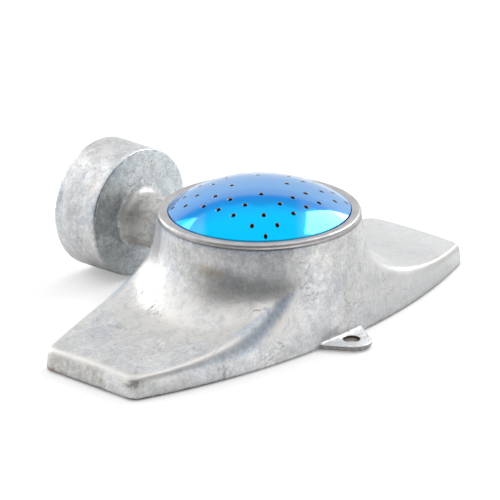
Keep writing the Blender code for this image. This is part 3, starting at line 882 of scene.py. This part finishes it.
def noises_from(tree, place, table):
    """Adds the noises of a table and returns them by name."""
    return {name: noise_node(tree, place, *numbers) for name, numbers in table.items()}


def masks_from(tree, read, table):
    """Adds the masks of a table, which read these outputs, and returns them by name."""
    masks = {}
    for name, steps in table.items():
        shares = [smooth_step(tree, read[source], *numbers) for source, *numbers in steps]
        masks[name] = product(tree, *shares)
    return masks


def new_surface(name, **settings):
    """Makes a Principled material and returns it with its tree, shader and place output."""
    material = bpy.data.materials.new(name)
    material.use_nodes = True
    tree = material.node_tree
    shader = tree.nodes["Principled BSDF"]
    for socket, value in settings.items():
        shader.inputs[socket.replace("_", " ")].default_value = value
    place = add_node(tree, "TexCoord").outputs["Object"]
    return material, tree, shader, place


def feed(tree, shader, **outputs):
    """Links outputs to a shader's inputs, whose names have underscores for spaces here."""
    for socket, output in outputs.items():
        tree.links.new(output, shader.inputs[socket.replace("_", " ")])


def bumped(tree, shader, height, distance):
    """Gives a shader a bump of this height in metres."""
    bump = add_node(tree, "Bump", {"Height": height, "Distance": distance})
    feed(tree, shader, Normal=bump.outputs[0])


def casting_readings(tree, place):
    """Adds what the casting's masks read: noises, places, distances, how convex it is and how open
    it is to the sky, which paints shade.
    """
    read = noises_from(tree, place, CASTING_NOISES)
    read["off_flow"] = off_by(tree, read["flow"], 0.5)
    read["along"], read["back"], read["height"] = add_node(tree, "SeparateXYZ", {0: place}).outputs
    read["outward"] = math_node(tree, "ABSOLUTE", read["along"])
    read["foot_height"] = math_node(tree, "MULTIPLY_ADD", read["patch"], FOOT_BREAK,
                                    read["height"])
    normal = add_node(tree, "NewGeometry").outputs["Normal"]
    read["upward"] = add_node(tree, "SeparateXYZ", {0: normal}).outputs["Z"]
    read["reach"] = distance_node(tree, place, (0.0, 0.0, 0.0), ON_PLAN)
    read["from_neck"] = distance_node(tree, place, (0.0, 0.0, NECK_AXIS), ON_FRONT)
    read["from_hole"] = distance_node(tree, place, (0.0, -LUG_HOLE_CENTRE, 0.0), ON_PLAN)
    read["bend"] = add_node(tree, "Attribute", attribute_name="bend").outputs["Fac"]
    uneven = math_node(tree, "MULTIPLY_ADD", read["patch"], *WEAR_BREAK)
    read["worn_bend"] = math_node(tree, "ADD", read["bend"], uneven)
    # ambient occlusion, which paints shade into the colour; near the lug's root that painted shade
    # is left out
    from_root = distance_node(tree, place, (0.0, -WING_HALF_WIDTH, 0.0), ON_PLAN)
    sky = add_node(tree, "AmbientOcclusion", {"Distance": SKY_REACH}, samples=SKY_SAMPLES)
    near_lug = smooth_step(tree, from_root, *LUG_SKY)
    read["open_sky"] = math_node(tree, "MAXIMUM", sky.outputs["AO"], near_lug)
    return read


def layered(tree, masks, colour, layers):
    """Lays layers on a colour, each as far as its mask says."""
    for name, way, amount in layers:
        amount = masks.get(amount, amount)
        if way == "light":
            colour = tinted(tree, colour, masks[name])
        elif way == "shade":
            colour = tinted(tree, colour, mix_numbers(tree, masks[name], 1.0, amount))
        else:
            over = tinted(tree, colour, amount) if way == "tint" else amount
            colour = mix_colours(tree, masks[name], colour, over)
    return colour


def cast_metal():
    """Raw zinc casting: cool mottled greys, cream and brown stain marks, rust, flow marks, worn
    edges, a bluish band on the left ridge and darker low concave creases.

    Painted light and shade lie in its colour too: shade from ambient occlusion, under the rim,
    under the left wing's edge, on the tip's front corner, on the lug's side and on the right's
    worn edges; dirt with painted shade in the lug's hole and along the foot; light on the left
    fillet, the tips, the lug and the right end; a lit and shaded drum side and face; and a painted
    blue reflection on the drum's face.
    """
    material, tree, shader, place = new_surface("cast_zinc", Metallic=0.85)
    read = casting_readings(tree, place)
    masks = masks_from(tree, read, CASTING_MASKS)
    for name, (mask, first, second) in CASTING_COLOURS.items():
        masks[name] = mix_colours(tree, masks[mask], first, second)
    # the drum face's painted blue reflection, with its painted light and shade
    masks["painted_face_tint"] = tinted(tree, FACE_BLUE_REFLECTION, masks["painted_face_light_and_mottle"])
    spot_layers = ()
    # brown stains and rust, and painted shade on the left tip's front corner
    for spot, radius, tint in STAINS_AND_SHADE_SPOTS:
        distance = distance_node(tree, place, spot, SPOT_SHAPE)
        near = smooth_step(tree, distance, radius, radius / SPOT_CORE)
        masks[spot] = product(tree, near, masks["broken"])
        spot_layers += ((spot, "tint", tint),)
    colour = layered(tree, masks, masks["zinc"], FIRST_LAYERS + spot_layers + END_LAYERS)
    rough = masks["roughness"]
    for name, roughness in WORN_ROUGHNESS.items():
        rough = mix_numbers(tree, masks[name], rough, roughness)
    feed(tree, shader, Base_Color=colour, Roughness=rough)
    relief = mix_numbers(tree, MOTTLE_RELIEF, read["patch"], read["mottle"])
    relief = mix_numbers(tree, GRAIN_RELIEF, relief, read["grain"])
    relief = math_node(tree, "SUBTRACT", relief, masks["crease"])
    bumped(tree, shader, relief, CASTING_BUMP)
    return material


def rolled_metal():
    """The rolled rim: the same zinc, drawn smooth by the rolling, satin and a little brown."""
    material, tree, shader, place = new_surface("rolled_zinc", Metallic=0.9)
    read = noises_from(tree, place, RIM_NOISES)
    masks = masks_from(tree, read, RIM_MASKS)
    colour = mix_colours(tree, masks["grey"], RIM_BROWN, RIM_GREY)
    colour = tinted(tree, colour, masks["speck"])
    feed(tree, shader, Base_Color=colour, Roughness=masks["roughness"])
    relief = mix_numbers(tree, RIM_RELIEF, read["patch"], read["grain"])
    bumped(tree, shader, relief, RIM_BUMP)
    return material


def blue_anodised():
    """Blue anodised sheet under a clear coat.

    The flatter it is looked at, the deeper and then the paler its blue: a painted sheen by the
    viewing angle. The coat is a little stronger on the dome's two front sides.
    """
    material, tree, shader, place = new_surface("blue_anodised", Metallic=1.0, Coat_IOR=2.1,
                                                Coat_Roughness=0.02)
    read = noises_from(tree, place, DOME_NOISES)
    read["facing"] = add_node(tree, "LayerWeight", {"Blend": 0.5}).outputs["Facing"]
    read["across"] = vector_number(tree, "DOT_PRODUCT", place, DOME_ACROSS)
    masks = masks_from(tree, read, DOME_MASKS)
    # painted sheen by the viewing angle
    colour = mix_colours(tree, masks["sheen_deep"], DOME_BRIGHT, DOME_SHEEN_DEEP)
    colour = mix_colours(tree, masks["sheen_pale"], colour, DOME_SHEEN_PALE)
    coat = math_node(tree, "MAXIMUM", masks["right_coat"], masks["left_coat"])
    coat = math_node(tree, "MAXIMUM", masks["veil"], coat)
    coat = product(tree, coat, masks["coat_fade"])
    feed(tree, shader, Base_Color=colour, Coat_Weight=coat, Roughness=masks["roughness"])
    return material


def bare_edge():
    """Bare sheet where the spray holes are punched through the blue layer."""
    material, tree, shader, place = new_surface("bare_edge", Metallic=1.0, Roughness=0.4)
    grain = noise_node(tree, place, *BARE_NOISE)
    feed(tree, shader, Base_Color=mix_colours(tree, grain, BARE_DARK, BARE_LIGHT))
    return material


def black_rubber():
    """Moulded black rubber, matt and slightly dusty."""
    material, tree, shader, place = new_surface("black_rubber")
    dust = noise_node(tree, place, *DUST_NOISE)
    masks = masks_from(tree, {"dust": dust}, RUBBER_MASKS)
    colour = mix_colours(tree, masks["dusty"], RUBBER_BLACK, RUBBER_DUST)
    feed(tree, shader, Base_Color=colour, Roughness=masks["roughness"])
    bumped(tree, shader, dust, RUBBER_BUMP)
    return material


def dress_rubber(material):
    """Gives the washer and the gasket, which stay as in the solids, their rubber."""
    for name in ("hose_washer", "dome_gasket"):
        for slot in bpy.data.objects[name].material_slots:
            slot.material = material


def smooth_by(thing, name, weight_at, steps):
    """Smooths an object, at each of its points as much as a weight says."""
    group = thing.vertex_groups.new(name=name)
    for vert in thing.data.vertices:
        group.add([vert.index], weight_at(*vert.co), "REPLACE")
    smooth = thing.modifiers.new("smooth", "SMOOTH")
    smooth.factor = SMOOTH_SHARE
    smooth.iterations = steps
    smooth.vertex_group = name
    apply_modifiers(thing)


def softness(x, y, z):
    """How far the whole casting is smoothed at a point: the drum and the lug stay crisper."""
    on_lug = y < -WING_HALF_WIDTH and abs(x) < LUG_ROOT_HALF and z < 2 * LUG_THICKNESS
    return CRISP_SHARE if y > DRUM_START or on_lug else 1.0


def flank_softness(x, y, z):
    """How far a point is smoothed once more, where the wings' edges run into the turret."""
    radius = hypot(x, y)
    if y > WING_HALF_WIDTH or radius < TURRET_RADIUS or z < FLANK_LOW:
        return 0.0
    weight = min(1.0, (radius - TURRET_RADIUS) / FLANK_BLEND, (z - FLANK_LOW) / FLANK_BLEND,
                 max(0.0, (WALL_TOP - z) / FLANK_BLEND - 1))
    weight *= 1 - min(1.0, max(0.0, (abs(x) - FLANK_REACH) / FLANK_FADE))
    return weight * min(1.0, abs(y) / FLANK_FADE)


def mark_bends(mesh):
    """Stores how convex the surface is around each point, which the material reads for worn edges,
    its ridge band, its darker creases and its painted shade under the wing's edge.
    """
    count = len(mesh.vertices)
    places = np.empty(count * 3)
    normals = np.empty(count * 3)
    ends = np.empty(len(mesh.edges) * 2, dtype=np.int32)
    mesh.vertices.foreach_get("co", places)
    mesh.vertices.foreach_get("normal", normals)
    mesh.edges.foreach_get("vertices", ends)
    places = places.reshape(-1, 3)
    normals = normals.reshape(-1, 3)
    first, second = ends.reshape(-1, 2).T
    along = places[second] - places[first]
    area = (along ** 2).sum(axis=1)

    def summed(at_first, at_second):
        """For each point, the sum of what its edges give to their first and second ends."""
        return np.bincount(first, at_first, count) + np.bincount(second, at_second, count)

    drop = summed(-(along * normals[first]).sum(axis=1), (along * normals[second]).sum(axis=1))
    bend = drop / summed(area, area)
    degree = summed(None, None)
    for _ in range(BEND_STEPS):
        bend = (bend + summed(bend[second], bend[first]) / degree) / 2
    mesh.attributes.new("bend", "FLOAT", "POINT").data.foreach_set("value", bend)


def build_casting(material):
    """The one-piece casting, remeshed so that its corners are soft like those of a casting."""
    body = add_object("casting", outer_casting(), material)
    for mesh in (coupling_mesh(), neck_mesh(), lug_mesh()):
        combine(body, mesh, "UNION")
    for side in (-1, 1):
        pocket = add_object("pocket", pocket_mesh(side))
        combine(pocket, core_mesh(), "DIFFERENCE")
        combine(body, pocket.data, "DIFFERENCE")
        bpy.data.objects.remove(pocket, do_unlink=True)
    for mesh in (chamber_mesh(), socket_mesh(), bore_mesh(), lug_hole_mesh()):
        combine(body, mesh, "DIFFERENCE")
    combine(body, thread_mesh(), "UNION")
    remesh = body.modifiers.new("remesh", "REMESH")
    remesh.mode = "VOXEL"
    remesh.voxel_size = VOXEL
    remesh.use_smooth_shade = True
    apply_modifiers(body)
    smooth_by(body, "soft", softness, SMOOTH_STEPS)
    smooth_by(body, "flanks", flank_softness, FLANK_STEPS)
    mark_bends(body.data)
    body.data.shade_smooth()
    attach(body, "root")
    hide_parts("cast_body")


def build_rim(material):
    """The rolled rim, turned: a rounded outer edge, a satin top and an edge on the dome."""
    outer = TURRET_RADIUS + RIM_PROUD
    groove = LIP_TOP - RIM_ROUND - RIM_GROOVE
    profile = [(TURRET_RADIUS - RIM_PROUD, groove - RIM_SKIRT), (TURRET_RADIUS, groove)]
    profile += arc((outer - RIM_ROUND, LIP_TOP - RIM_ROUND), RIM_ROUND, -RIM_TUCK, pi / 2,
                   ARC_STEPS)
    inner = (SIGHT_RADIUS + RIM_INNER_ROUND, LIP_TOP - RIM_DISH - RIM_INNER_ROUND)
    profile += arc(inner, RIM_INNER_ROUND, pi / 2, pi, ARC_STEPS // 2)
    profile += [(SIGHT_RADIUS, LIP_UNDERSIDE), (RECESS_RADIUS + RIM_PROUD, LIP_UNDERSIDE)]
    profile += [(RECESS_RADIUS + RIM_PROUD, groove - RIM_SKIRT)]
    mesh = turned_mesh("rolled_rim", profile, closed=True, steps=MIRROR_STEPS)
    rim = add_object("rolled_rim", mesh, material)
    rim.data.shade_smooth()
    rim.data.set_sharp_from_angle(angle=SHARP_EDGE)
    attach(rim, "root")


def dome_height(radius):
    """Height of the dome's outer surface at a radius."""
    share = (radius / SIGHT_RADIUS) ** 2
    return LIP_TOP + DOME_RISE * (1 - share) * (1 + DOME_SHOULDER * share)


def dome_slope(radius):
    """Slope of the dome's outer surface at a radius, downhill outwards."""
    share = (radius / SIGHT_RADIUS) ** 2
    change = DOME_SHOULDER - 1 - 2 * DOME_SHOULDER * share
    return -DOME_RISE * change * 2 * radius / SIGHT_RADIUS ** 2


def spray_places():
    """Plan places of the spray holes: a square grid without its middle and next four places."""
    lines = sorted({sign * place for place in SPRAY_GRID for sign in (-1, 1)})
    inner = SPRAY_GRID[1]
    return [(x, y) for x in lines for y in lines if hypot(x, y) >= hypot(inner, inner)]


def dome_wave(x, y):
    """The slight unevenness of the pressed sheet."""
    wave = noise.noise(Vector((x, y, 0.0)) * WAVE_SCALE)
    return WAVE_HEIGHT * wave * (1 - (hypot(x, y) / SIGHT_RADIUS) ** 2)


def dome_normal(x, y):
    """Direction square to the dome's outer surface at a plan place."""
    radius = max(hypot(x, y), WELD_DISTANCE)
    slope = dome_slope(radius)
    wave = dome_wave(x, y)
    wave_x = (dome_wave(x + WAVE_STEP, y) - wave) / WAVE_STEP
    wave_y = (dome_wave(x, y + WAVE_STEP) - wave) / WAVE_STEP
    return Vector((slope * x / radius - wave_x, slope * y / radius - wave_y, 1.0)).normalized()


def drill_mesh():
    """The spray holes as cutters: they widen at the top and are drawn out near the edge."""
    heights = (DRILL_RISE, -HOLE_CHAMFER, -SHEET - DRILL_SINK)
    radii = (HOLE_RADIUS + HOLE_CHAMFER + DRILL_RISE, HOLE_RADIUS, HOLE_RADIUS)
    profile = [(0.0, heights[0])] + list(zip(radii, heights)) + [(0.0, heights[-1])]
    single = turned_mesh("drill", profile, steps=HOLE_STEPS)
    shape = bmesh.new()
    for x, y in spray_places():
        radius = hypot(x, y)
        drawn = (radius / SIGHT_RADIUS) ** 3
        stretch = Matrix.Diagonal((1 + HOLE_DRAW * drawn, 1 - HOLE_PINCH * drawn, 1.0, 1.0))
        outward = Vector((x, y, 0.0)).normalized()
        normal = dome_normal(x, y)
        side = normal.cross(outward).normalized()
        turn = Matrix((side.cross(normal), side, normal)).transposed().to_4x4()
        spot = Vector((x, y, dome_height(radius)))
        start = len(shape.verts)
        shape.from_mesh(single)
        shape.verts.ensure_lookup_table()
        place = Matrix.Translation(spot) @ turn @ stretch
        bmesh.ops.transform(shape, matrix=place, verts=shape.verts[start:])
    mesh = bpy.data.meshes.new("drills")
    shape.to_mesh(mesh)
    shape.free()
    mesh.transform(Matrix.Rotation(DOME_TURN, 4, "Z"))
    return mesh


def dome_shell():
    """The dome before its holes: crown, skirt and the flange under the rim."""
    edge = SIGHT_RADIUS - SEAT_GAP / 2
    radii = [edge * i / DOME_STEPS for i in range(DOME_STEPS + 1)]
    flange = FLANGE_TOP - SHEET
    outer = [(r, dome_height(r)) for r in radii]
    skirt = [(edge, FLANGE_TOP), (FLANGE_RADIUS, FLANGE_TOP), (FLANGE_RADIUS, flange)]
    inner = [(r * (edge - SHEET) / edge, dome_height(r) - SHEET) for r in reversed(radii)]
    profile = outer + skirt + [(edge - SHEET, flange)] + inner
    mesh = turned_mesh("spray_dome", profile, steps=MIRROR_STEPS)
    for vert in mesh.vertices:
        x, y, z = vert.co
        if z > FLANGE_TOP + SHEET:
            vert.co.z = z + dome_wave(x, y)
    return mesh


def build_dome():
    """The perforated dome, with true normals on its mirror surface and bare hole walls."""
    dome = add_object("spray_dome_sheet", dome_shell())
    combine(dome, drill_mesh(), "DIFFERENCE")
    mesh = dome.data
    mesh.materials.clear()
    mesh.materials.append(blue_anodised())
    mesh.materials.append(bare_edge())
    mesh.shade_smooth()
    mesh.set_sharp_from_angle(angle=DOME_SHARP)
    corner = [n.vector.copy() for n in mesh.corner_normals]
    for face in mesh.polygons:
        x, y, z = face.center
        radius = hypot(x, y)
        above = z - dome_height(radius)
        true = dome_normal(x, y)
        on_top = radius < SIGHT_RADIUS and above > -SHEET / 4
        if on_top and face.normal.dot(true) > ALONG_DOME:
            for index in face.loop_indices:
                spot = mesh.vertices[mesh.loops[index].vertex_index].co
                corner[index] = dome_normal(spot.x, spot.y)
        elif radius < SIGHT_RADIUS - SHEET and abs(face.normal.dot(true)) < ACROSS_DOME:
            face.material_index = 1
    mesh.normals_split_custom_set(corner)
    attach(dome, "root")
    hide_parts("spray_dome")


def studio_world():
    """A white studio: bright above, a backdrop behind, and darker gaps between them.

    Directions are worked out along the camera's heading: ahead is away from it.
    """
    world = bpy.data.worlds.new("studio")
    bpy.context.scene.world = world
    world.use_nodes = True
    tree = world.node_tree
    direction = add_node(tree, "TexCoord").outputs["Generated"]
    ahead = (sin(-CAMERA_AZIMUTH), cos(CAMERA_AZIMUTH), 0.0)
    right = (cos(CAMERA_AZIMUTH), sin(CAMERA_AZIMUTH), 0.0)
    forth = vector_number(tree, "DOT_PRODUCT", direction, ahead)
    aside = vector_number(tree, "DOT_PRODUCT", direction, right)
    bearing = math_node(tree, "ARCTAN2", aside, forth)
    read = {"bearing": bearing, "off_axis": off_by(tree, bearing, 0.0),
            "off_front": off_by(tree, bearing, FRONT_MIDDLE),
            "off_arch": off_by(tree, bearing, ARCH_MIDDLE)}
    masks = masks_from(tree, read, STUDIO_MASKS)
    back_light = mix_numbers(tree, masks["backdrop"], GAP_LIGHT, BACKDROP_LIGHT)
    front_light = math_node(tree, "MINIMUM", masks["shoulder"], masks["front_most"])
    light = mix_numbers(tree, masks["front"], back_light, front_light)
    light = mix_numbers(tree, masks["panel"], light, PANEL_LIGHT)
    rise = math_node(tree, "ADD", masks["arch"], masks["front_rise"])
    edge = math_node(tree, "ADD", masks["ceiling"], rise)
    height = add_node(tree, "SeparateXYZ", {0: direction}).outputs["Z"]
    above = smooth_step(tree, math_node(tree, "SUBTRACT", height, edge), -EDGE_BLUR, EDGE_BLUR)
    light = mix_numbers(tree, above, light, CEILING_LIGHT)
    seen = add_node(tree, "LightPath").outputs["Is Camera Ray"]
    strength = mix_numbers(tree, seen, light, 1.0)
    background = tree.nodes["Background"]
    background.inputs["Color"].default_value = WHITE
    feed(tree, background, Strength=strength)


def build_softbox(name, light, ahead, aside, bottom, top, facing, width):
    """An upright softbox, placed along and across the camera's heading from the sprinkler."""
    height = top - bottom
    lamp = bpy.data.lights.new(name, "AREA")
    lamp.shape = "RECTANGLE"
    lamp.size = width
    lamp.size_y = height
    lamp.energy = light * pi * width * height
    box = add_object(name, lamp)
    heading = Matrix.Rotation(CAMERA_AZIMUTH, 3, "Z")
    box.location = heading @ Vector((aside, ahead, (bottom + top) / 2))
    outwards = heading @ Vector((sin(facing), cos(facing), 0.0))
    box.rotation_euler = outwards.to_track_quat("Z", "Y").to_euler()


def build_camera():
    """The camera that took the photograph, solved from it."""
    camera = add_object("camera", bpy.data.cameras.new("camera"))
    forward = Vector((-sin(CAMERA_AZIMUTH) * cos(CAMERA_ELEVATION),
                      cos(CAMERA_AZIMUTH) * cos(CAMERA_ELEVATION), -sin(CAMERA_ELEVATION)))
    level = forward.cross(Vector((0.0, 0.0, 1.0))).normalized()
    upright = level.cross(forward)
    right = cos(CAMERA_ROLL) * level + sin(CAMERA_ROLL) * upright
    up = cos(CAMERA_ROLL) * upright - sin(CAMERA_ROLL) * level
    turn = Matrix((right, up, -forward)).transposed().to_4x4()
    camera.matrix_world = Matrix.Translation(CAMERA_PLACE) @ turn
    camera.data.sensor_width = SENSOR
    camera.data.lens = LENS
    camera.data.clip_start = CLIP_START
    bpy.context.scene.camera = camera


def build_floor():
    """A plain white floor.

    It glows to the camera, which makes it as white as the backdrop, and a part of it beside
    the sprinkler also glows in reflections.
    """
    corners = [(-FLOOR_REACH, -FLOOR_FRONT, 0), (FLOOR_REACH, -FLOOR_FRONT, 0),
               (FLOOR_REACH, FLOOR_REACH, 0), (-FLOOR_REACH, FLOOR_REACH, 0)]
    mesh = mesh_of("floor", corners, [(0, 1, 2, 3)])
    mesh.transform(Matrix.Rotation(CAMERA_AZIMUTH, 4, "Z"))
    material, tree, shader, place = new_surface(
        "floor", Roughness=0.9, Base_Color=FLOOR_WHITE, Emission_Color=WHITE)
    path = add_node(tree, "LightPath").outputs
    distance = vector_number(tree, "LENGTH", place)
    heading = CAMERA_AZIMUTH - GLOW_BEARING
    nearer = (-sin(heading), cos(heading), 0.0)
    before = vector_number(tree, "DOT_PRODUCT", place, nearer)
    share = math_node(tree, "DIVIDE", before, distance)
    far = smooth_step(tree, distance, *GLOW_REACH, GLOW_NEAR, 1.0)
    towards = smooth_step(tree, share, *GLOW_SPREAD)
    mirror_glow = product(tree, far, towards, path["Is Glossy Ray"], MIRROR_GLOW)
    camera_glow = product(tree, path["Is Camera Ray"], FLOOR_GLOW)
    feed(tree, shader, Emission_Strength=math_node(tree, "ADD", camera_glow, mirror_glow))
    floor = add_object("floor", mesh, material)


def main():
    """Dresses the frame and lights it."""
    build_casting(cast_metal())
    build_rim(rolled_metal())
    build_dome()
    dress_rubber(black_rubber())
    build_floor()
    studio_world()
    for numbers in SOFTBOXES:
        build_softbox(*numbers)
    build_camera()
    bpy.context.scene.view_settings.view_transform = "Standard"


main()
